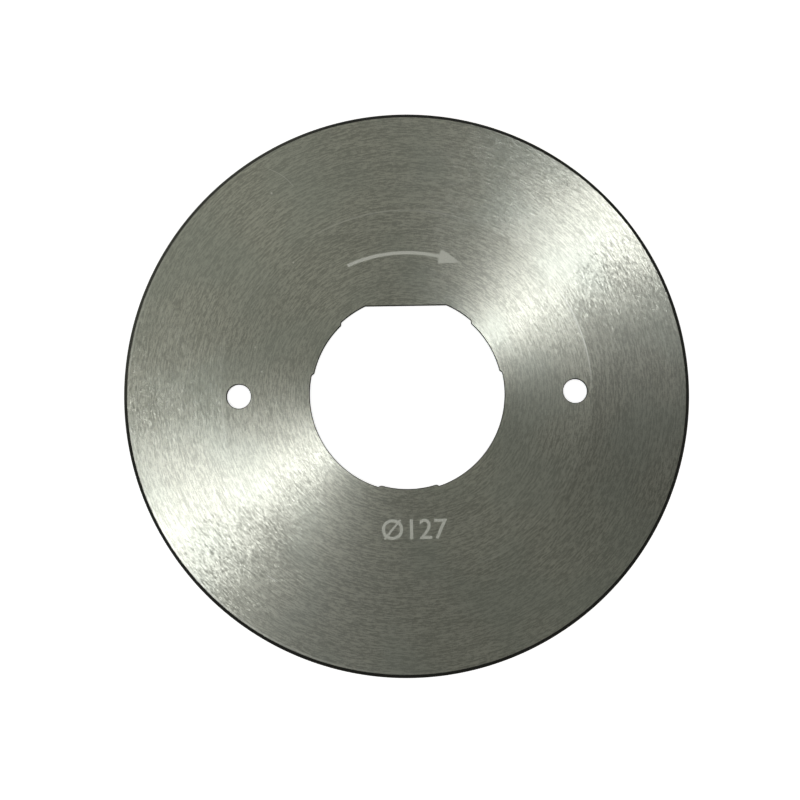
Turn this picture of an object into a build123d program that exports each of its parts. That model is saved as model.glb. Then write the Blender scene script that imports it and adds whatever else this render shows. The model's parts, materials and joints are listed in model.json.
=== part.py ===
from build123d import *
import os

# Round knife blade for a cloth cutter, in millimetres: one piece of steel plate.
# The origin is on the axis of rotation, at the level of the flat back.
# +Z points out of the front, the side that carries the taper and the bevel.
# +Y points from the axis to the flat of the bore.

# Disc: a flat hub zone, a tapered ring outside it, and one bevel down to the edge
blade_diameter = 127.0
plate_thickness = 1.2
hub_diameter = 83.2
rim_thickness = 0.7
bevel_width = 0.8
edge_thickness = 0.04

# Bore: a relieved circle with one flat, and centring lands that stand in from it
relief_diameter = 43.7
flat_distance = 19.85
land_bore_diameter = 42.7
land_count = 3
land_angle = 35.0
first_land_direction = 30.0
land_flank_slope = 45.0
bore_corner_radius = 0.3

# Screw holes: evenly spaced round the axis, the first one on +X
screw_hole_count = 2
screw_hole_diameter = 5.4
screw_hole_spacing = 75.4

# Broken edges of the bore and of the screw holes, on both faces
edge_break = 0.15

blade_radius = blade_diameter / 2
relief_radius = relief_diameter / 2
land_radius = land_bore_diameter / 2
land_height = relief_radius - land_radius

# One land, drawn on +X as a tooth: each flank crosses the middle of the step at
# half the land angle, and runs from inside the land circle to outside the relief
flank_middle = Vector((relief_radius + land_radius) / 2, 0).rotate(Axis.Z, land_angle / 2)
flank_direction = Vector(1, 0).rotate(Axis.Z, land_angle / 2 + land_flank_slope)
flank_inner_end = flank_middle - flank_direction * land_height
flank_outer_end = flank_middle + flank_direction * land_radius


with BuildPart() as blade:

    # Section from the axis to the cutting edge, turned into the bare disc
    with BuildSketch(Plane.XZ) as disc_section:
        Polygon(
            (0, 0),
            (blade_radius, 0),
            (blade_radius, edge_thickness),
            (blade_radius - bevel_width, rim_thickness),
            (hub_diameter / 2, plate_thickness),
            (0, plate_thickness),
            align=None,
        )
    revolve(axis=Axis.Z)

    # The relieved circle loses one tooth at each land, and the land circle is put back
    with BuildSketch() as bore_outline:
        Circle(relief_radius)
        with PolarLocations(0, land_count, start_angle=first_land_direction):
            Polygon(
                (flank_inner_end.X, -flank_inner_end.Y),
                (flank_outer_end.X, -flank_outer_end.Y),
                (flank_outer_end.X, flank_outer_end.Y),
                (flank_inner_end.X, flank_inner_end.Y),
                align=None,
                mode=Mode.SUBTRACT,
            )
        Circle(land_radius)
        with Locations((0, flat_distance)):
            Rectangle(
                relief_diameter,
                relief_diameter,
                align=(Align.CENTER, Align.MIN),
                mode=Mode.SUBTRACT,
            )
        fillet(bore_outline.vertices(), radius=bore_corner_radius)
    extrude(amount=plate_thickness, mode=Mode.SUBTRACT)

    with PolarLocations(screw_hole_spacing / 2, screw_hole_count):
        Hole(radius=screw_hole_diameter / 2)

    # Every inner rim of the back and of the hub face gets the same broken edge
    flat_faces = blade.faces().filter_by(Axis.Z).sort_by(Axis.Z)
    inner_rims = flat_faces[0].inner_wires() + flat_faces[-1].inner_wires()
    chamfer(inner_rims.edges(), length=edge_break)


blade.part.label = "blade"

os.makedirs("parts", exist_ok=True)
export_step(blade.part, "parts/blade.step")
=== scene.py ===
"""Looks of a round cutter blade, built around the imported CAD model.

The blade is one disc of ground steel: a flat hub zone, a ring that thins towards
the rim, a bevel down to the cutting edge, a bore with a flat and three centring
lands, and two screw holes. All lengths are in metres, in the frame of the CAD
model, with the origin on the axis at the level of the flat back.
"""

import json
import logging
import math
from dataclasses import dataclass, field
from enum import Enum
from typing import Any, Union

import bmesh
import bpy
import numpy as np
from mathutils import Matrix, Vector


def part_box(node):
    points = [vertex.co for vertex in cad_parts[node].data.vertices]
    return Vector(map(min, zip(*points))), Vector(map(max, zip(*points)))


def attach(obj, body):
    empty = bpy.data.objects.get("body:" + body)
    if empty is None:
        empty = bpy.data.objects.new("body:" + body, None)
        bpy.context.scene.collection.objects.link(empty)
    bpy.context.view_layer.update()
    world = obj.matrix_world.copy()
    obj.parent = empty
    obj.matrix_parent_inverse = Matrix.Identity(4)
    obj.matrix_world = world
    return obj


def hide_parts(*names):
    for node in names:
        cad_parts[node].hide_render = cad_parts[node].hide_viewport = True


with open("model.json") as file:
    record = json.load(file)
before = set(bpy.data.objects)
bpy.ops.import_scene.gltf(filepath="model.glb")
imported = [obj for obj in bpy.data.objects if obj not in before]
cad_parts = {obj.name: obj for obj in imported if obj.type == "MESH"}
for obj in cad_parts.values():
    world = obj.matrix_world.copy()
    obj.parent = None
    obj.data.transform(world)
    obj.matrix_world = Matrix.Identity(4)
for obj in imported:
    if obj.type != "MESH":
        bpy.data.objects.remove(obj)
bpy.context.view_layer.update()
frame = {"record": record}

LOG = logging.getLogger("round_blade")

MM = 0.001
STEEL_NODE = "blade"
BODY = "root"

Colour = tuple[float, float, float, float]
Light = tuple[float, float, float]
Point = tuple[float, float]
Pair = tuple[float, float]

TUBE_LIGHT: Light = (0.98, 1.0, 1.0)
PANEL_LIGHT: Light = (0.98, 1.0, 0.88)
WHITE: Colour = (1.0, 1.0, 1.0, 1.0)
AXIS: Point = (0.0, 0.0)

# Share of a mark's half width over which the mark has its full strength
CORE_SHARE = 0.3


def grey(level: float, warmth: float) -> Colour:
    """Return a grey of one level, made yellower by warmth."""
    warm = level * (1.0 + 0.5 * warmth)
    return (warm, warm, level * (1.0 - warmth), 1.0)


def placed(name: str, data: Any) -> bpy.types.Object:
    """Put a mesh, a lamp or a camera into the scene.

    Args:
        name: Name of the new object.
        data: What the object holds.

    Returns:
        The object, at the origin.
    """
    thing = bpy.data.objects.new(name, data)
    bpy.context.scene.collection.objects.link(thing)
    return thing


class Value:
    """One number socket of a shader, which Python arithmetic turns into Math nodes."""

    def __init__(self, sheet: "NodeSheet", socket: bpy.types.NodeSocket) -> None:
        """Wrap a socket.

        Args:
            sheet: The sheet whose material holds the socket.
            socket: The output socket that carries the number.
        """
        self.sheet = sheet
        self.socket = socket

    def _math(self, operation: str, *values: Any) -> "Value":
        """Return the result of one Math node on the given values."""
        return self.sheet.add("ShaderNodeMath", {"operation": operation}, dict(enumerate(values)))

    def __add__(self, other: Any) -> "Value":
        """Return self + other."""
        return self._math("ADD", self, other)

    def __radd__(self, other: Any) -> "Value":
        """Return other + self."""
        return self._math("ADD", other, self)

    def __sub__(self, other: Any) -> "Value":
        """Return self - other."""
        return self._math("SUBTRACT", self, other)

    def __rsub__(self, other: Any) -> "Value":
        """Return other - self."""
        return self._math("SUBTRACT", other, self)

    def __mul__(self, other: Any) -> "Value":
        """Return self * other."""
        return self._math("MULTIPLY", self, other)

    def __truediv__(self, other: Any) -> "Value":
        """Return self / other."""
        return self._math("DIVIDE", self, other)

    def __pow__(self, other: Any) -> "Value":
        """Return self raised to other."""
        return self._math("POWER", self, other)

    def size(self) -> "Value":
        """Return the absolute value."""
        return self._math("ABSOLUTE", self)

    def largest(self, other: Any) -> "Value":
        """Return the larger of self and other."""
        return self._math("MAXIMUM", self, other)


class NodeSheet:
    """The node tree of one material or of the world, filled by short calls."""

    def __init__(self, tree: bpy.types.NodeTree) -> None:
        """Start with an empty tree.

        Args:
            tree: The node tree to fill.
        """
        self.tree = tree
        self.tree.nodes.clear()

    def add(
        self,
        kind: str,
        settings: dict[str, Any],
        sockets: dict[Any, Any],
        output: Any = 0,
    ) -> Value:
        """Make a node, set it up and feed its sockets.

        Args:
            kind: The node's type name.
            settings: Properties of the node, set before its sockets.
            sockets: Input name or number to a plain value or another Value.
            output: Name or number of the output that the result wraps. The
                tree's last node has none, and its input stands in for it.

        Returns:
            The chosen output socket.
        """
        node = self.tree.nodes.new(kind)
        for name, setting in settings.items():
            setattr(node, name, setting)
        for name, value in sockets.items():
            if isinstance(value, Value):
                self.tree.links.new(value.socket, node.inputs[name])
            else:
                node.inputs[name].default_value = value
        ends = node.outputs if len(node.outputs) else node.inputs
        return Value(self, ends[output])

    def object_point(self) -> Value:
        """Return the shaded point in the object's own coordinates."""
        return self.add("ShaderNodeTexCoord", {}, {}, output="Object")

    def mix_colour(self, factor: Any, low: Any, high: Any) -> Value:
        """Return the colour between low and high at factor."""
        settings = {"data_type": "RGBA", "blend_type": "MIX"}
        return self.add("ShaderNodeMix", settings, {0: factor, 6: low, 7: high}, output=2)

    def step(
        self, value: Value, start: float, end: float, low: float = 0.0, high: float = 1.0
    ) -> Value:
        """Return low before start and high after end, with a smooth step between."""
        return self.add(
            "ShaderNodeMapRange",
            {"interpolation_type": "SMOOTHSTEP"},
            {0: value, 1: start, 2: end, 3: low, 4: high},
        )

    def noise(
        self, vector: Value, scale: float, detail: float = 1.0, roughness: float = 0.5
    ) -> Value:
        """Return a cloud of numbers about one half over the given coordinates."""
        sockets = {"Vector": vector, "Scale": scale, "Detail": detail, "Roughness": roughness}
        return self.add("ShaderNodeTexNoise", {"noise_dimensions": "3D"}, sockets)

    def swing(self, vector: Value, scale: float, reach: float, detail: float = 1.0) -> Value:
        """Return a cloud of numbers about zero, reach wide from the least to the most."""
        return (self.noise(vector, scale, detail) - 0.5) * reach

    def steel(self, sockets: dict[str, Any]) -> None:
        """Make the steel's shader with the given sockets, and end the tree with it."""
        shader = self.add("ShaderNodeBsdfPrincipled", {}, {"Metallic": 1.0, **sockets})
        self.add("ShaderNodeOutputMaterial", {}, {"Surface": shader})


def new_material(name: str) -> tuple[bpy.types.Material, NodeSheet]:
    """Start a material.

    Args:
        name: Name of the material.

    Returns:
        The empty material and the sheet that fills it.
    """
    material = bpy.data.materials.new(name)
    material.use_nodes = True
    return material, NodeSheet(material.node_tree)


@dataclass
class DiscPlace:
    """Where a shaded point lies on the disc, as shader values."""

    sheet: NodeSheet
    x: Value = field(init=False)
    y: Value = field(init=False)
    radius: Value = field(init=False)
    point: Value = field(init=False)

    def __post_init__(self) -> None:
        """Read the object coordinates and work out the distance from the axis."""
        self.point = self.sheet.object_point()
        self.x = self.sheet.add("ShaderNodeSeparateXYZ", {}, {0: self.point}, output="X")
        self.y = self.sheet.add("ShaderNodeSeparateXYZ", {}, {0: self.point}, output="Y")
        self.radius = (self.x * self.x + self.y * self.y) ** 0.5

    def distance_from(self, centre: Point) -> Value:
        """Measure how far the shaded point is from another, seen along the axis.

        Args:
            centre: The other point of the face.

        Returns:
            The distance.
        """
        east = self.x - centre[0]
        north = self.y - centre[1]
        return (east * east + north * north) ** 0.5

    def along_circles(self, length: float, width: float, centre: Point) -> Value:
        """Return coordinates whose unit cell is one short grinding line.

        Along the circles only the place counts, and across them the radius
        counts for far more, so a cell is long and thin.

        Args:
            length: Length of a line.
            width: Width of a line.
            centre: Middle of the circles.

        Returns:
            The vector (x / length, y / length, distance from centre / width).
        """
        radius = self.radius if centre == AXIS else self.distance_from(centre)
        cell = {0: self.x / length, 1: self.y / length, 2: radius / width}
        return self.sheet.add("ShaderNodeCombineXYZ", {}, cell)


@dataclass(frozen=True)
class Scratch:
    """One fine scratch, drawn as an arc from start to end on the front face."""

    start: Point
    end: Point
    bow: float = 0.0
    width: float = 0.14 * MM
    strength: float = 0.5
    end_fade: float = 0.08

    def mask(self, place: DiscPlace) -> Value:
        """Return a mask that is strength on the scratch and zero away from it.

        The scratch's own axes are along (from start to end, 0 to 1) and across.
        Its middle line is the parabola 4 * bow * along * (1 - along).

        Args:
            place: The shaded point's place on the disc.

        Returns:
            The mask.
        """
        run = (self.end[0] - self.start[0], self.end[1] - self.start[1])
        span = math.hypot(*run)
        unit = (run[0] / span, run[1] / span)
        east = place.x - self.start[0]
        north = place.y - self.start[1]
        along = (east * unit[0] + north * unit[1]) / span
        across = north * unit[0] - east * unit[1]
        inside = along * (1.0 - along)
        off = (across - inside * (4.0 * self.bow)).size()
        line = place.sheet.step(off, CORE_SHARE * self.width, self.width, 1.0, 0.0)
        return line * place.sheet.step(inside, 0.0, self.end_fade) * self.strength


@dataclass(frozen=True)
class Nick:
    """One bright speck on the front face."""

    middle: Point
    radius: float
    strength: float

    def mask(self, place: DiscPlace) -> Value:
        """Return a mask that is strength in the middle and zero beyond the radius."""
        off = place.distance_from(self.middle)
        return place.sheet.step(off, CORE_SHARE * self.radius, self.radius, self.strength, 0.0)


@dataclass(frozen=True)
class PaintedHighlightLine:
    """A painted highlight: a thin light line along a circle about the axis, where an edge catches
    the light.
    """

    radius: float
    middle_deg: float
    half_deg: float
    width: float
    strength: float
    full_share: float = 0.4

    def mask(self, place: DiscPlace) -> Value:
        """Return a mask that is strength on the line and fades to zero at its ends.

        The line reaches half_deg to each side of middle_deg, and full_share of
        that has the full strength. The cosine of the angle from its middle says
        how far along it a point lies.

        Args:
            place: The shaded point's place on the disc.

        Returns:
            The mask.
        """
        sheet = place.sheet
        middle = math.radians(self.middle_deg)
        near = (place.x * math.cos(middle) + place.y * math.sin(middle)) / place.radius
        end = math.cos(math.radians(self.half_deg))
        inner = math.cos(math.radians(self.half_deg * self.full_share))
        off = (place.radius - self.radius).size()
        line = sheet.step(off, CORE_SHARE * self.width, self.width, self.strength, 0.0)
        return line * sheet.step(near, end, inner)


@dataclass(frozen=True)
class GrindLines:
    """One layer of the grinding pattern: short lines along circles.

    Attributes:
        length: Length of a line.
        width: Width of a line.
        reach: How much the layer changes, from its least to its most.
        centre: Middle of the circles.
    """

    length: float
    width: float
    reach: float
    centre: Point = AXIS

    def swing(self, place: DiscPlace) -> Value:
        """Return the layer's own clouds, stretched into lines."""
        cells = place.along_circles(self.length, self.width, self.centre)
        return place.sheet.swing(cells, 1.0, self.reach)


@dataclass(frozen=True)
class GroundFinish:
    """Steel ground in circles about the axis, with a lighter cross grind over it.

    Attributes:
        lay_deg: Angle between the grinding lines and the circles.
        lean: Lean of the whole normal, to the east and to the north.
        marks: Scratches, nicks and lines of painted highlight.
        layers: Fine lines, broad bands, and two layers of the cross grind.
        grit: Size of the grains between the lines.
        grit_reach: How much the grains change the tone.
        tone_half: Half of the change that takes the tone from dark to light.
        tilt_lines: Lines that lean the normal, with the lean as their reach.
        patch_scale: Soft patches to a metre.
        patch_tilt: How much the patches lean the normal.
        tint_scale: Cooler patches to a metre.
        tint_rise: Levels of their clouds between which the cool colour comes in.
        tint_most: The most of the cool colour.
        mark_roughness: How much rougher the marks are.
    """

    name: str
    lay_deg: float
    marks: tuple[Union[Scratch, Nick, PaintedHighlightLine], ...]
    lean: Pair = (0.0, 0.0)
    dark: Colour = grey(0.42, 0.075)
    light: Colour = grey(0.67, 0.075)
    roughness: float = 0.275
    anisotropy: float = 0.937
    layers: tuple[GrindLines, ...] = (
        GrindLines(1.3 * MM, 0.28 * MM, 0.4),
        GrindLines(7.8 * MM, 0.364 * MM, 0.22),
        GrindLines(3.25 * MM, 0.28 * MM, 0.09, (7.0 * MM, 2.0 * MM)),
        GrindLines(3.25 * MM, 0.28 * MM, 0.09, (-5.0 * MM, -6.0 * MM)),
    )
    grit: float = 0.28 * MM
    grit_reach: float = 0.2
    tone_half: float = 0.1
    tilt_lines: GrindLines = GrindLines(1.04 * MM, 0.252 * MM, 0.1)
    patch_scale: float = 90.0
    patch_tilt: float = 0.03
    cool: Colour = (0.51, 0.55, 0.5, 1.0)
    tint_scale: float = 55.0
    tint_rise: Pair = (0.4, 0.7)
    tint_most: float = 0.35
    # Colour of the scratches and nicks, and of the lines of painted highlight.
    wear_and_highlight_colour: Colour = (0.98, 0.98, 0.93, 1.0)
    mark_roughness: float = 0.2

    def normal(self, place: DiscPlace, slope: Value) -> Value:
        """Return the surface's normal, leant along the circles by slope.

        Args:
            place: The shaded point's place on the disc.
            slope: Lean along the circle through the point.

        Returns:
            The leant normal, of length one.
        """
        sheet = place.sheet
        east = place.y / place.radius * (slope * -1.0) + self.lean[0]
        north = place.x / place.radius * slope + self.lean[1]
        circle = sheet.add("ShaderNodeCombineXYZ", {}, {0: east, 1: north})
        face = sheet.add("ShaderNodeNewGeometry", {}, {}, output="Normal")
        leant = sheet.add("ShaderNodeVectorMath", {"operation": "ADD"}, {0: face, 1: circle})
        return sheet.add("ShaderNodeVectorMath", {"operation": "NORMALIZE"}, {0: leant})

    def tone(self, place: DiscPlace) -> Value:
        """Return how light the steel is at a point, from 0 to 1.

        It is a smooth step of the sum of the grit and all layers of lines.

        Args:
            place: The shaded point's place on the disc.

        Returns:
            The tone.
        """
        total = place.sheet.swing(place.point, 1.0 / self.grit, self.grit_reach)
        for layer in self.layers:
            total = total + layer.swing(place)
        return place.sheet.step(total, -self.tone_half, self.tone_half)

    def wear_and_highlights(self, place: DiscPlace) -> Value:
        """Put all marks into one mask: the scratches and nicks, and the lines of painted highlight.

        Args:
            place: The shaded point's place on the disc.

        Returns:
            The strongest mark's mask at each point.
        """
        worn_and_highlit = self.marks[0].mask(place)
        for mark in self.marks[1:]:
            worn_and_highlit = worn_and_highlit.largest(mark.mask(place))
        return worn_and_highlit

    def make(self) -> bpy.types.Material:
        """Make the ground steel.

        Returns:
            The material.
        """
        material, sheet = new_material(self.name)
        place = DiscPlace(sheet)
        # One mask for the scratches and nicks and for the lines of painted highlight.
        worn_and_highlit = self.wear_and_highlights(place)
        cool_clouds = sheet.noise(place.point, self.tint_scale)
        tint = sheet.step(cool_clouds, *self.tint_rise, 0.0, self.tint_most)
        colour = sheet.mix_colour(self.tone(place), self.dark, self.light)
        colour = sheet.mix_colour(tint, colour, self.cool)
        patches = sheet.swing(place.point, self.patch_scale, self.patch_tilt, detail=2.0)
        slope = self.tilt_lines.swing(place) + patches
        sheet.steel(
            {
                # Scratches, nicks and lines of painted highlight lighten the colour here.
                "Base Color": sheet.mix_colour(worn_and_highlit, colour, self.wear_and_highlight_colour),
                "Roughness": worn_and_highlit * self.mark_roughness + self.roughness,
                "Anisotropic": self.anisotropy,
                "Anisotropic Rotation": 0.25 - self.lay_deg / 360.0,
                "Normal": self.normal(place, slope),
            }
        )
        return material


@dataclass(frozen=True)
class CutFinish:
    """Bare steel with a fine even tooth, for walls and for the bevel, which are given colours near
    black as painted shade.
    """

    name: str
    dark: Colour
    light: Colour
    roughness: float
    tooth_height: float
    tooth: float = 0.2 * MM
    roughness_reach: float = 0.15

    def make(self) -> bpy.types.Material:
        """Make the bare steel.

        Returns:
            The material.
        """
        material, sheet = new_material(self.name)
        grain = sheet.noise(sheet.object_point(), 1.0 / self.tooth, detail=3.0, roughness=0.6)
        bump = sheet.add(
            "ShaderNodeBump",
            {},
            {"Strength": 1.0, "Distance": self.tooth_height, "Height": grain},
            output="Normal",
        )
        sheet.steel(
            {
                "Base Color": sheet.mix_colour(grain, self.dark, self.light),
                "Roughness": self.roughness + (grain - 0.5) * self.roughness_reach,
                "Normal": bump,
            }
        )
        return material


@dataclass(frozen=True)
class EtchedFinish:
    """Steel etched evenly rough and light, for plain marks."""

    name: str = "etched_mark"
    dark: Colour = (0.5, 0.5, 0.45, 1.0)
    light: Colour = (0.72, 0.72, 0.66, 1.0)
    roughness: float = 0.42
    roughness_reach: float = 0.1
    speckle: float = 0.25 * MM

    def make(self) -> bpy.types.Material:
        """Make the etched steel.

        Returns:
            The material.
        """
        material, sheet = new_material(self.name)
        grain = sheet.noise(sheet.object_point(), 1.0 / self.speckle, detail=2.0, roughness=0.6)
        sheet.steel(
            {
                "Base Color": sheet.mix_colour(grain, self.dark, self.light),
                "Roughness": self.roughness + (grain - 0.5) * self.roughness_reach,
            }
        )
        return material


class Surface(Enum):
    """The finishes that the faces of the disc take, in material order."""

    HUB = 0
    RING = 1
    CUT = 2
    BEVEL = 3


def smooth_step(value: np.ndarray) -> np.ndarray:
    """Return 3t^2 - 2t^3 of the value held between 0 and 1."""
    held = np.clip(value, 0.0, 1.0)
    return held * held * (3.0 - 2.0 * held)


def smooth_smaller(first: np.ndarray, second: np.ndarray, reach: float) -> np.ndarray:
    """Return the smaller of two arrays, with the corner rounded over reach."""
    near = np.clip(1.0 - np.abs(first - second) / reach, 0.0, None)
    return np.minimum(first, second) - near * near * reach / 4.0


@dataclass
class BoreOutline:
    """The bore: a relieved circle with one flat, and lands that stand in from it."""

    land_radius: float
    relief_radius: float = 21.85 * MM
    flat_distance: float = 19.85 * MM
    land_count: int = 3
    land_angle: float = math.radians(35.0)
    first_land: float = math.radians(30.0)
    flank_run: float = 0.75 * MM
    corner_reach: float = 0.03 * MM
    least_sine: float = 0.1

    def radius(self, turn: np.ndarray) -> np.ndarray:
        """Return the distance from the axis to the wall at each turn.

        It is the relief radius less a smooth step on each land, or the flat's
        distance divided by the sine of the turn where that is smaller. The
        sine is held above least_sine, as the flat is far from there.

        Args:
            turn: Angles from +X, in radians.

        Returns:
            The distances.
        """
        pitch = 2.0 * math.pi / self.land_count
        off = (turn - self.first_land + pitch / 2.0) % pitch - pitch / 2.0
        middle = (self.land_radius + self.relief_radius) / 2.0
        land_height = self.relief_radius - self.land_radius
        onto_land = (self.land_angle / 2.0 - np.abs(off)) * middle / self.flank_run + 0.5
        round_wall = self.relief_radius - land_height * smooth_step(onto_land)
        flat_wall = self.flat_distance / np.clip(np.sin(turn), self.least_sine, None)
        return smooth_smaller(round_wall, flat_wall, self.corner_reach)

    def corners(self) -> np.ndarray:
        """Work out where the outline bends sharply.

        Returns:
            The turns of the land flanks and of the flat's two ends.
        """
        lands = self.first_land + np.arange(self.land_count) * 2.0 * math.pi / self.land_count
        flanks = np.concatenate([lands - self.land_angle / 2.0, lands + self.land_angle / 2.0])
        half_flat = math.acos(self.flat_distance / self.relief_radius)
        return np.concatenate([flanks, math.pi / 2.0 + np.array([-half_flat, half_flat])])

    def ring(self, turn: np.ndarray, offset: float, height: float) -> np.ndarray:
        """Return the outline moved by offset into the steel, at one height.

        Args:
            turn: Angles from +X, in radians, in order round the bore.
            offset: Distance along the outline's own normal.
            height: Height of the ring.

        Returns:
            Points of shape (len(turn), 3).
        """
        radius = self.radius(turn)
        flat = np.stack([radius * np.cos(turn), radius * np.sin(turn)], axis=1)
        along = np.roll(flat, -1, axis=0) - np.roll(flat, 1, axis=0)
        along /= np.linalg.norm(along, axis=1, keepdims=True)
        moved = flat + offset * np.stack([along[:, 1], -along[:, 0]], axis=1)
        return np.column_stack([moved, np.full(len(turn), height)])


def circle(turn: np.ndarray, radius: float, height: float) -> np.ndarray:
    """Return a ring of points at one radius and height."""
    flat = radius * np.stack([np.cos(turn), np.sin(turn)], axis=1)
    return np.column_stack([flat, np.full(len(turn), height)])


@dataclass(frozen=True)
class Span:
    """A straight stretch of the blade's section, turned round the axis.

    Attributes:
        first: Ring of points at its start.
        last: Ring of points at its end, where the next span starts.
        rows: Number of rows of faces.
        surface: Finish of its faces.
        sharp: Whether it starts at a sharp edge.
        patched: Whether it leaves out a block of faces round each screw hole.
    """

    first: np.ndarray
    last: np.ndarray
    rows: int
    surface: Surface
    sharp: bool = True
    patched: bool = False

    def rings(self) -> list[np.ndarray]:
        """Return its rings of points on straight lines, without the last one."""
        shares = np.arange(self.rows) / self.rows
        return [self.first + (self.last - self.first) * share for share in shares]


@dataclass
class BladeDisc:
    """The blade's disc as one closed surface."""

    outer_radius: float
    thickness: float
    bore: BoreOutline
    screw_radius: float
    screw_distance: float
    finishes: dict[Surface, Union[GroundFinish, CutFinish]]
    hub_radius: float = 41.6 * MM
    rim_thickness: float = 0.7 * MM
    bevel_width: float = 0.8 * MM
    edge_thickness: float = 0.04 * MM
    edge_break: float = 0.15 * MM
    column_step_deg: float = 0.5
    corner_span_deg: float = 1.8
    corner_step_deg: float = 0.1
    screw_patch_deg: float = 6.0
    patch_rows: int = 12

    def columns(self) -> np.ndarray:
        """Place the grid's columns, closer together at the bore's corners.

        Returns:
            The columns' turns, in order.
        """
        even = np.arange(0.0, 360.0, self.column_step_deg)
        near = np.arange(-self.corner_span_deg, self.corner_span_deg, self.corner_step_deg)
        close = np.round(np.degrees(self.bore.corners()), 1)[:, None] + near[None, :]
        degrees = np.unique(np.round(np.concatenate([even, close.ravel() % 360.0]), 3))
        return np.radians(degrees)

    def spans(self, turn: np.ndarray) -> list[Span]:
        """Draw the blade's section, turned round the axis.

        It goes up the bore's wall, outwards over the front, down the bevel and
        back under the disc.

        Args:
            turn: The columns' turns.

        Returns:
            The spans in order, of which the last ends where the first starts.
        """
        top, low = self.thickness, 0.0
        patch_inner = 2.0 * self.screw_distance - self.hub_radius
        back_inner = self.bore.ring(turn, self.edge_break, low)
        wall_low = self.bore.ring(turn, 0.0, self.edge_break)
        wall_top = self.bore.ring(turn, 0.0, top - self.edge_break)
        front_inner = self.bore.ring(turn, self.edge_break, top)
        front_patch = circle(turn, patch_inner, top)
        front_hub = circle(turn, self.hub_radius, top)
        bevel_rim = circle(turn, self.outer_radius - self.bevel_width, self.rim_thickness)
        edge_top = circle(turn, self.outer_radius, self.edge_thickness)
        edge_low = circle(turn, self.outer_radius, low)
        back_hub = circle(turn, self.hub_radius, low)
        back_patch = circle(turn, patch_inner, low)
        return [
            Span(back_inner, wall_low, 1, Surface.CUT),
            Span(wall_low, wall_top, 2, Surface.CUT),
            Span(wall_top, front_inner, 1, Surface.CUT),
            Span(front_inner, front_patch, 3, Surface.HUB),
            Span(front_patch, front_hub, self.patch_rows, Surface.HUB, False, True),
            Span(front_hub, bevel_rim, 4, Surface.RING),
            Span(bevel_rim, edge_top, 2, Surface.BEVEL),
            Span(edge_top, edge_low, 1, Surface.BEVEL),
            Span(edge_low, back_hub, 4, Surface.HUB),
            Span(back_hub, back_patch, self.patch_rows, Surface.HUB, False, True),
            Span(back_patch, back_inner, 3, Surface.HUB, False),
        ]

    def build(self) -> bpy.types.Object:
        """Make the disc.

        The rows of the main grid run round the blade's section, and its columns
        run round the axis. At each screw hole a block of cells is left out of
        both faces, and a second grid runs from the rim of that block in to the
        hole, down its wall and out again on the back.

        Returns:
            The finished object.
        """
        turn = self.columns()
        count = len(turn)
        spans = self.spans(turn)
        span_rows = [span.rows for span in spans]
        row_count = sum(span_rows)
        starts = np.cumsum([0] + span_rows[:-1])
        sharp_rows = starts[[span.sharp for span in spans]]
        crease = np.full(row_count, -1)
        crease[sharp_rows] = sharp_rows
        front_start, back_start = starts[[span.patched for span in spans]]
        front_rows = front_start + np.arange(self.patch_rows + 1)
        back_rows = back_start + np.arange(self.patch_rows, -1, -1)
        points = np.concatenate([ring for span in spans for ring in span.rings()])
        creases = np.repeat(crease, count)
        keep = np.ones((row_count, count), dtype=bool)
        hole_quads = []
        hole_skins = []
        for side in (0.0, 180.0):
            patch = self.screw_patch(turn, side)
            keep[np.ix_(front_rows[:-1], patch[:-1])] = False
            keep[np.ix_(back_rows[1:], patch[:-1])] = False
            loops = [self.loop(rows, patch, count) for rows in (front_rows, back_rows)]
            new_points, quads, skins, new_creases = self.screw_hole(points, *loops, side)
            points = np.concatenate([points, new_points])
            creases = np.concatenate([creases, new_creases])
            hole_quads.append(quads)
            hole_skins.append(skins)
        row, column = np.nonzero(keep)
        here = row * count
        over = (row + 1) % row_count * count
        beside = (column + 1) % count
        cells = np.stack([here + column, over + column, over + beside, here + beside], axis=-1)
        skin = np.repeat([span.surface.value for span in spans], span_rows)
        all_quads = np.concatenate([cells, *hole_quads])
        all_skins = np.concatenate([skin[row], *hole_skins])
        return self.to_object(points, all_quads, all_skins, creases)

    def screw_patch(self, turn: np.ndarray, side: float) -> np.ndarray:
        """Choose the columns of the block of cells round a screw hole.

        Args:
            turn: The columns' turns, in radians.
            side: Turn of the hole about the axis, in degrees.

        Returns:
            The columns, in order of turn.
        """
        off = (np.degrees(turn) - side + 180.0) % 360.0 - 180.0
        inside = np.flatnonzero(np.abs(off) <= self.screw_patch_deg + self.column_step_deg / 10.0)
        return inside[np.argsort(off[inside])]

    @staticmethod
    def loop(rows: np.ndarray, patch: np.ndarray, count: int) -> np.ndarray:
        """Return the indices round a block of cells, counterclockwise from above.

        Args:
            rows: The block's rows, from the axis outwards.
            patch: The block's columns, in order of turn.
            count: Number of columns in the main grid.

        Returns:
            Indices along the outer row, down the last column, back along the
            inner row and up the first column.
        """
        outer = rows[-1] * count + patch[:-1]
        down = rows[:0:-1] * count + patch[-1]
        inner = rows[0] * count + patch[:0:-1]
        up = rows[:-1] * count + patch[0]
        return np.concatenate([outer, down, inner, up])

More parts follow.
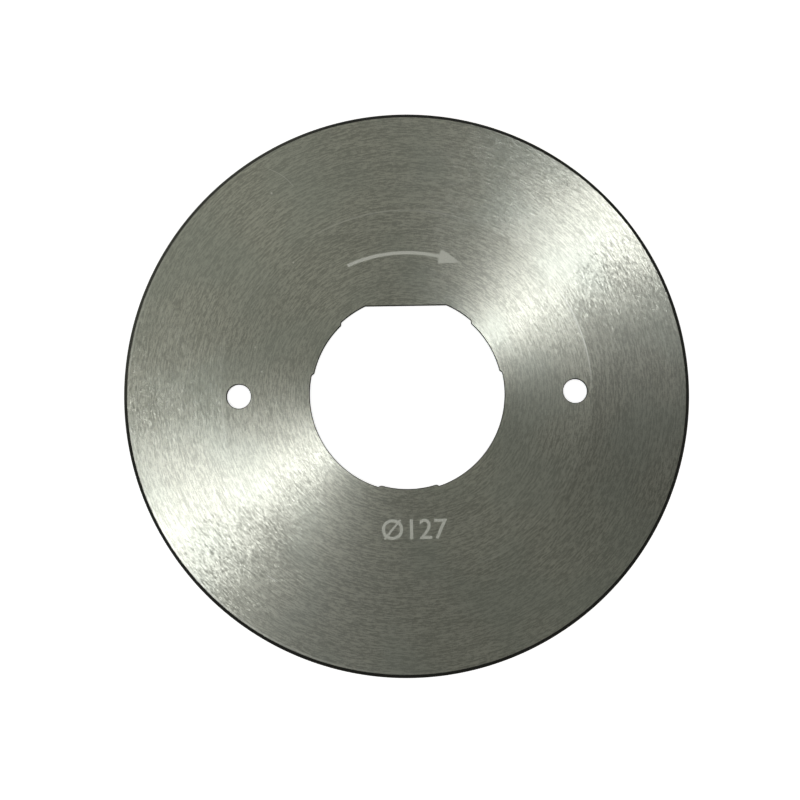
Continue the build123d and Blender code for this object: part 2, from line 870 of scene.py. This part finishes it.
    def screw_hole(
        self,
        points: np.ndarray,
        front_loop: np.ndarray,
        back_loop: np.ndarray,
        side: float,
    ) -> tuple[np.ndarray, np.ndarray, np.ndarray, np.ndarray]:
        """Return the grid that joins two blocks' rims through a screw hole.

        Each ring of the face lies on straight lines from the rim of the block
        to the point of the hole's circle that is seen at the same angle from
        the hole's centre.

        Args:
            points: All points made so far, which the new ones follow.
            front_loop: Indices round the block on the front.
            back_loop: Indices round the block on the back.
            side: Turn of the hole about the axis, in degrees.

        Returns:
            New points, quads, surface numbers and crease numbers.
        """
        turn = math.radians(side)
        centre = self.screw_distance * np.array([math.cos(turn), math.sin(turn)])
        rim = points[front_loop, :2]
        bearing = np.arctan2(rim[:, 1] - centre[1], rim[:, 0] - centre[0])
        outwards = np.stack([np.cos(bearing), np.sin(bearing)], axis=1)
        tight = centre + self.screw_radius * outwards
        wide = centre + (self.screw_radius + self.edge_break) * outwards
        third = (wide - rim) / 3.0
        top = self.thickness
        rings = [
            (rim + third, top, Surface.HUB, False),
            (rim + third * 2.0, top, Surface.HUB, False),
            (wide, top, Surface.HUB, True),
            (tight, top - self.edge_break, Surface.CUT, True),
            (tight, self.edge_break, Surface.CUT, True),
            (wide, 0.0, Surface.CUT, True),
            (rim + third * 2.0, 0.0, Surface.HUB, False),
            (rim + third, 0.0, Surface.HUB, False),
        ]
        count = len(front_loop)
        new_points = np.concatenate(
            [np.column_stack([flat, np.full(count, height)]) for flat, height, *_ in rings]
        )
        own = len(points) + np.arange(len(new_points)).reshape(-1, count)
        grid = np.concatenate([front_loop[None, :], own, back_loop[None, :]])
        after = np.roll(grid, -1, axis=1)
        quads = np.stack([grid[:-1], after[:-1], after[1:], grid[1:]], axis=-1).reshape(-1, 4)
        surfaces = [surface for *_, surface, _ in rings] + [Surface.HUB]
        skins = np.repeat([surface.value for surface in surfaces], count)
        sharp = np.array([sharp for *_, sharp in rings])
        creases = np.repeat(np.where(sharp, len(points) + np.arange(len(rings)), -1), count)
        return new_points, quads, skins, creases

    def to_object(
        self,
        points: np.ndarray,
        quads: np.ndarray,
        skins: np.ndarray,
        creases: np.ndarray,
    ) -> bpy.types.Object:
        """Put the arrays into a mesh with its materials and sharp edges.

        Args:
            points: Vertex positions.
            quads: Four vertex indices to a face.
            skins: Surface number of each face.
            creases: For each vertex, the number of the crease it lies on, or -1.

        Returns:
            The object, linked to the scene.
        """
        mesh = bpy.data.meshes.new("blade_disc")
        mesh.from_pydata(points.tolist(), [], quads.tolist())
        mesh.polygons.foreach_set("material_index", skins.astype(np.int32))
        mesh.polygons.foreach_set("use_smooth", np.ones(len(quads), dtype=bool))
        ends = np.empty(len(mesh.edges) * 2, dtype=np.int32)
        mesh.edges.foreach_get("vertices", ends)
        first, last = creases[ends.reshape(-1, 2)].T
        mesh.edges.foreach_set("use_edge_sharp", (first == last) & (first >= 0))
        for surface in Surface:
            mesh.materials.append(self.finishes[surface].make())
        mesh.update()
        return placed("blade_disc", mesh)


@dataclass
class EtchedMarks:
    """Plain marks on the hub: an arrow for the way round, and the diameter in millimetres."""

    face_height: float
    diameter: float
    finish: EtchedFinish
    depth: float = 0.006 * MM
    arrow_radius: float = 31.8 * MM
    arrow_start_deg: float = 114.0
    arrow_end_deg: float = 67.0
    head_span_deg: float = 9.0
    shaft_width: float = 0.75 * MM
    head_width: float = 3.4 * MM
    tip_share: float = 0.01
    shaft_steps: int = 60
    head_steps: int = 20
    text_middle: Point = (1.0 * MM, -30.6 * MM)
    text_size: float = 6.4 * MM
    text_boldness: float = 0.05 * MM

    def arrow(self) -> bpy.types.Object:
        """Make the arrow, a thin closed strip bent about the axis.

        Its half width is constant along the shaft. At the head it jumps to the
        head's own half width and falls evenly to almost nothing at the tip.

        Returns:
            The arrow.
        """
        head_start = self.arrow_end_deg + self.head_span_deg
        shaft = np.linspace(self.arrow_start_deg, head_start, self.shaft_steps)
        head = np.linspace(head_start, self.arrow_end_deg, self.head_steps)
        turn = np.radians(np.concatenate([shaft, head]))
        fall = np.linspace(1.0, self.tip_share, self.head_steps)
        width = np.concatenate([np.full(self.shaft_steps, self.shaft_width), fall * self.head_width])
        corners = []
        for side, high in ((-1.0, 1.0), (1.0, 1.0), (1.0, -1.0), (-1.0, -1.0)):
            radius = self.arrow_radius + side * width / 2.0
            height = np.full(len(turn), self.face_height + high * self.depth)
            corners.append(np.column_stack([radius * np.cos(turn), radius * np.sin(turn), height]))
        points = np.stack(corners, axis=1).reshape(-1, 3)
        start = 4 * np.arange(len(turn) - 1)
        sides = [
            np.stack([start + edge, start + 4 + edge, start + 4 + after, start + after], axis=-1)
            for edge, after in ((0, 1), (1, 2), (2, 3), (3, 0))
        ]
        last = 4 * (len(turn) - 1)
        ends = np.array([[0, 1, 2, 3], [last + 3, last + 2, last + 1, last]])
        mesh = bpy.data.meshes.new("turn_arrow")
        mesh.from_pydata(points.tolist(), [], np.concatenate([*sides, ends]).tolist())
        return self.finished(mesh)

    def size_mark(self) -> bpy.types.Object:
        """Make the diameter mark, plain digits turned into thin closed solids.

        Returns:
            The mark.
        """
        letters = bpy.data.curves.new("size_text", "FONT")
        letters.body = f"\xd8{self.diameter / MM:.0f}"
        letters.size = self.text_size
        letters.extrude = self.depth
        letters.offset = self.text_boldness
        letters.align_x = "CENTER"
        letters.align_y = "CENTER"
        draft = placed("size_text", letters)
        bpy.context.view_layer.update()
        shown = bpy.context.evaluated_depsgraph_get()
        mesh = bpy.data.meshes.new_from_object(draft.evaluated_get(shown))
        bpy.data.objects.remove(draft)
        bpy.data.curves.remove(letters)
        mesh.name = "size_mark"
        mesh.transform(Matrix.Translation((*self.text_middle, self.face_height)))
        return self.finished(mesh)

    def finished(self, mesh: bpy.types.Mesh) -> bpy.types.Object:
        """Close a mark's mesh, turn its faces outwards and dress it.

        Args:
            mesh: The mark's mesh, in place.

        Returns:
            The object, linked to the scene.
        """
        work = bmesh.new()
        work.from_mesh(mesh)
        bmesh.ops.remove_doubles(work, verts=work.verts, dist=self.depth / 20.0)
        bmesh.ops.recalc_face_normals(work, faces=work.faces)
        work.to_mesh(mesh)
        work.free()
        mesh.materials.clear()
        mesh.materials.append(self.finish.make())
        return placed(mesh.name, mesh)

    def build(self) -> list[bpy.types.Object]:
        """Make both marks and return them."""
        return [self.arrow(), self.size_mark()]


@dataclass
class PhotoCamera:
    """A camera close over the blade, whose picture was cropped off its middle."""

    eye: tuple[float, float, float] = (3.26 * MM, -27.02 * MM, 384.0 * MM)
    lean: Pair = (-0.0163, -0.0486)
    roll_deg: float = -1.03
    picture_width: float = 179.5 * MM
    shift: Pair = (-0.0629, 0.0381)
    clip: Pair = (0.01, 20.0)

    def build(self) -> bpy.types.Object:
        """Make the camera and set it as the scene's own.

        Its back points along (lean x, lean y, 1), and picture_width is the
        width of the picture at the distance of the blade.

        Returns:
            The camera object.
        """
        away = Vector((*self.lean, 1.0)).normalized()
        right = Vector((0.0, 1.0, 0.0)).cross(away).normalized()
        up = away.cross(right)
        roll = Matrix.Rotation(math.radians(self.roll_deg), 3, "Z")
        turn = Matrix((right, up, away)).transposed() @ roll
        data = bpy.data.cameras.new("photo_camera")
        data.sensor_width = 36.0
        data.lens = data.sensor_width * self.eye[2] / self.picture_width
        data.shift_x, data.shift_y = self.shift
        data.clip_start, data.clip_end = self.clip
        camera = placed("photo_camera", data)
        camera.matrix_world = Matrix.Translation(self.eye) @ turn.to_4x4()
        bpy.context.scene.camera = camera
        return camera


@dataclass(frozen=True)
class Lamp:
    """A soft rectangular lamp.

    Attributes:
        width: Size of its face along its own x.
        height: Size of its face along its own y.
        radiance: Brightness of its face.
        colour: Colour of its light.
    """

    name: str
    width: float
    height: float
    radiance: float
    colour: Light

    def shine(self, place: Matrix) -> bpy.types.Object:
        """Make the lamp. Its power is its radiance times its area times pi.

        Args:
            place: Its place and turn. It shines along its own -z.

        Returns:
            The lamp object.
        """
        data = bpy.data.lights.new(self.name, "AREA")
        data.shape = "RECTANGLE"
        data.size = self.width
        data.size_y = self.height
        data.energy = self.radiance * self.width * self.height * math.pi
        data.color = self.colour
        lamp = placed(self.name, data)
        lamp.matrix_world = place
        return lamp


@dataclass(frozen=True)
class Panel(Lamp):
    """A lamp on a sphere about the blade, which it faces."""

    azimuth_deg: float
    zenith_deg: float
    distance: float = 1.5

    def build(self) -> bpy.types.Object:
        """Make the panel, at its azimuth and its angle from straight above.

        Returns:
            The lamp object.
        """
        azimuth = math.radians(self.azimuth_deg)
        zenith = math.radians(self.zenith_deg)
        level = math.sin(zenith)
        away = Vector((level * math.cos(azimuth), level * math.sin(azimuth), math.cos(zenith)))
        turn = away.to_track_quat("Z", "Y").to_matrix().to_4x4()
        return self.shine(Matrix.Translation(away * self.distance) @ turn)


@dataclass(frozen=True)
class CeilingTube(Lamp):
    """A long level lamp under the ceiling, which shines straight down."""

    start: float
    offset: float
    heading_deg: float = 34.5
    ceiling: float = 1.5

    def build(self) -> bpy.types.Object:
        """Make the tube.

        Its middle line runs along heading_deg for its width, from start on,
        and passes the axis at the distance offset on its left.

        Returns:
            The lamp object.
        """
        heading = math.radians(self.heading_deg)
        along = Vector((math.cos(heading), math.sin(heading), 0.0))
        left = Vector((-math.sin(heading), math.cos(heading), 0.0))
        middle = along * (self.start + self.width / 2.0) + left * self.offset
        middle.z = self.ceiling
        return self.shine(Matrix.Translation(middle) @ Matrix.Rotation(heading, 4, "Z"))


@dataclass
class Studio:
    """A pale floor, a dim room with paler walls, and soft lamps.

    Attributes:
        floor_gap: Distance from the floor up to the back of the blade.
        floor_glow: What lifts the floor to white for the camera.
        wall_foot: Sines of the heights between which the pale walls begin.
        wall_head: Sines of the heights between which they end.
    """

    floor_half: float = 1.5
    floor_gap: float = 0.02 * MM
    floor_paint: Colour = (0.8, 0.8, 0.8, 1.0)
    floor_glow: float = 0.8
    room: Colour = (0.008, 0.008, 0.008, 1.0)
    walls: Colour = (0.6, 0.6, 0.53, 1.0)
    wall_foot: Pair = (0.2, 0.38)
    wall_head: Pair = (0.5, 0.68)
    lamps: tuple[Union[Panel, CeilingTube], ...] = (
        CeilingTube("tube_ahead_left", 1.243, 0.028, 12.0, TUBE_LIGHT, 0.217, 0.177),
        CeilingTube("tube_ahead_right", 1.243, 0.028, 12.0, TUBE_LIGHT, 0.217, 0.0735),
        CeilingTube("tube_behind_left", 5.822, 0.028, 19.4, TUBE_LIGHT, -6.0, 0.177),
        CeilingTube("tube_behind_right", 5.822, 0.028, 7.0, TUBE_LIGHT, -6.0, 0.0735),
        Panel("wall_panel", 1.18, 1.18, 0.39, PANEL_LIGHT, 149.7, 24.3),
        Panel("low_panel", 1.08, 1.08, 0.15, PANEL_LIGHT, 282.7, 30.0),
        Panel("window", 2.0, 0.4, 0.9, PANEL_LIGHT, 142.0, 85.0),
    )

    def build(self) -> None:
        """Make the floor, the world and the lamps."""
        self.floor()
        self.world()
        for lamp in self.lamps:
            lamp.build()

    def floor(self) -> bpy.types.Object:
        """Make the floor: pale, and lifted to white for the camera, with its shadow kept.

        Returns:
            The floor object.
        """
        half = self.floor_half
        corners = [(-half, -half), (half, -half), (half, half), (-half, half)]
        mesh = bpy.data.meshes.new("floor")
        mesh.from_pydata([(*corner, -self.floor_gap) for corner in corners], [], [(0, 1, 2, 3)])
        material, sheet = new_material("floor")
        material.cycles.emission_sampling = "NONE"
        seen = sheet.add("ShaderNodeLightPath", {}, {}, output="Is Camera Ray")
        paint = sheet.add("ShaderNodeBsdfDiffuse", {}, {"Color": self.floor_paint})
        lift = {"Color": WHITE, "Strength": seen * self.floor_glow}
        glow = sheet.add("ShaderNodeEmission", {}, lift)
        both = sheet.add("ShaderNodeAddShader", {}, {0: paint, 1: glow})
        sheet.add("ShaderNodeOutputMaterial", {}, {"Surface": both})
        mesh.materials.append(material)
        floor = placed("floor", mesh)
        return floor

    def world(self) -> None:
        """Make the room for the steel to mirror, white for the camera.

        It is dim overhead and near the floor. Its walls are paler from about
        15 to 35 degrees above the floor, so that the steel isn't black from
        the side.
        """
        world = bpy.data.worlds.new("room")
        world.use_nodes = True
        sheet = NodeSheet(world.node_tree)
        seen = sheet.add("ShaderNodeLightPath", {}, {}, output="Is Camera Ray")
        direction = sheet.add("ShaderNodeTexCoord", {}, {}, output="Generated")
        rise = sheet.add("ShaderNodeSeparateXYZ", {}, {0: direction}, output="Z")
        wall = sheet.step(rise, *self.wall_foot) * sheet.step(rise, *self.wall_head, 1.0, 0.0)
        colour = sheet.mix_colour(wall, self.room, self.walls)
        colour = sheet.mix_colour(seen, colour, WHITE)
        light = sheet.add("ShaderNodeBackground", {}, {"Color": colour, "Strength": 1.0})
        sheet.add("ShaderNodeOutputWorld", {}, {"Surface": light})
        bpy.context.scene.world = world


def mm_point(east: float, north: float) -> Point:
    """Return a point of the face given in millimetres, in metres."""
    return (east * MM, north * MM)


def hub_finish() -> GroundFinish:
    """Return the finish of the hub zone and of the back, with the hub's own scratches and nicks, and
    lines of painted highlight along the hub's edge.
    """
    return GroundFinish(
        "hub_steel",
        lay_deg=0.9,
        marks=(
            # Lines of painted highlight along the hub's edge, where it catches the light:
            PaintedHighlightLine(41.45 * MM, 93.0, 34.0, 0.3 * MM, 0.35),
            PaintedHighlightLine(41.5 * MM, 186.0, 7.0, 0.2 * MM, 0.4),
            PaintedHighlightLine(41.45 * MM, 20.0, 20.0, 0.24 * MM, 0.65),
            Scratch(mm_point(-35.9, 21.5), mm_point(-30.6, 28.0), -0.3 * MM, strength=0.3),
            Scratch(mm_point(-38.3, 24.4), mm_point(-37.1, 26.2), strength=0.3),
            Scratch(mm_point(-20.8, -22.9), mm_point(-18.6, -24.7), strength=0.7),
            Scratch(mm_point(13.8, -38.8), mm_point(20.6, -36.2), strength=0.22),
            Scratch(mm_point(7.0, -38.3), mm_point(9.2, -37.6), 0.1 * MM, strength=0.3),
            Scratch(mm_point(5.2, -36.3), mm_point(12.0, -35.4), strength=0.15),
            Nick(mm_point(-25.1, 30.0), 0.3 * MM, 0.8),
            Nick(mm_point(-33.9, 11.0), 0.25 * MM, 0.8),
            Nick(mm_point(-32.5, 5.5), 0.3 * MM, 0.8),
        ),
    )


def ring_finish() -> GroundFinish:
    """Return the finish of the tapered ring, with the ring's own scratches and nicks, and a line of
    painted highlight along the ring's outer edge, at the top of the bevel.
    """
    return GroundFinish(
        "ring_steel",
        lay_deg=2.8,
        lean=(-0.0014, -0.0097),
        marks=(
            # A line of painted highlight along the top of the bevel:
            PaintedHighlightLine(62.4 * MM, 205.0, 75.0, 0.25 * MM, 0.35),
            Scratch(mm_point(-30.7, 51.4), mm_point(-24.8, 47.2), 0.6 * MM, strength=0.45),
            Scratch(mm_point(-31.9, -40.0), mm_point(-29.5, -41.6), strength=0.7),
            Scratch(mm_point(9.4, 42.5), mm_point(12.2, 42.1), strength=0.3),
            Nick(mm_point(-29.8, 45.8), 0.35 * MM, 0.9),
        ),
    )


def painted_shade_wall_finish() -> CutFinish:
    """Return the finish of the bore's wall, the screw holes' walls and the broken edges, painted
    nearly black as shade.
    """
    return CutFinish("cut_wall_painted_shade", grey(0.02, 0.05), grey(0.04, 0.05), 0.28, 0.006 * MM)


def painted_shade_bevel_finish() -> CutFinish:
    """Return the finish of the bevel, painted nearly black as shade."""
    return CutFinish("bevel_steel_painted_shade", grey(0.05, 0.05), grey(0.08, 0.05), 0.3, 0.004 * MM)


def blade_sizes() -> dict[str, float]:
    """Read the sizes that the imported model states.

    Returns:
        Outer radius, thickness, land radius, screw hole radius and distance.
    """
    low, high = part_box(STEEL_NODE)
    mounts = {mount["name"]: mount["dims"] for mount in frame["record"]["mounts"]}
    return {
        "outer_radius": high[1],
        "thickness": high[2] - low[2],
        "land_radius": mounts["hub_bore"]["r_mm"] * MM,
        "screw_radius": mounts["screw_holes"]["hole_r_mm"] * MM,
        "screw_distance": mounts["screw_holes"]["spacing_x_mm"] * MM / 2.0,
    }


def main() -> None:
    """Build the camera, the studio and the blade, and report each piece."""
    logging.basicConfig(level=logging.INFO, format="%(name)s: %(message)s")
    bpy.context.scene.view_settings.view_transform = "Standard"
    PhotoCamera().build()
    Studio().build()
    sizes = blade_sizes()
    disc = BladeDisc(
        outer_radius=sizes["outer_radius"],
        thickness=sizes["thickness"],
        bore=BoreOutline(land_radius=sizes["land_radius"]),
        screw_radius=sizes["screw_radius"],
        screw_distance=sizes["screw_distance"],
        finishes={
            Surface.HUB: hub_finish(),
            Surface.RING: ring_finish(),
            # Painted shade: the walls and broken edges are nearly black steel.
            Surface.CUT: painted_shade_wall_finish(),
            # Painted shade: the bevel is nearly black steel.
            Surface.BEVEL: painted_shade_bevel_finish(),
        },
    ).build()
    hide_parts(STEEL_NODE)
    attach(disc, BODY)
    marks = EtchedMarks(sizes["thickness"], 2.0 * sizes["outer_radius"], EtchedFinish()).build()
    for mark in marks:
        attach(mark, BODY)
    for piece in (disc, *marks):
        LOG.info("%s: %d faces", piece.name, len(piece.data.polygons))


if __name__ == "__main__":
    main()
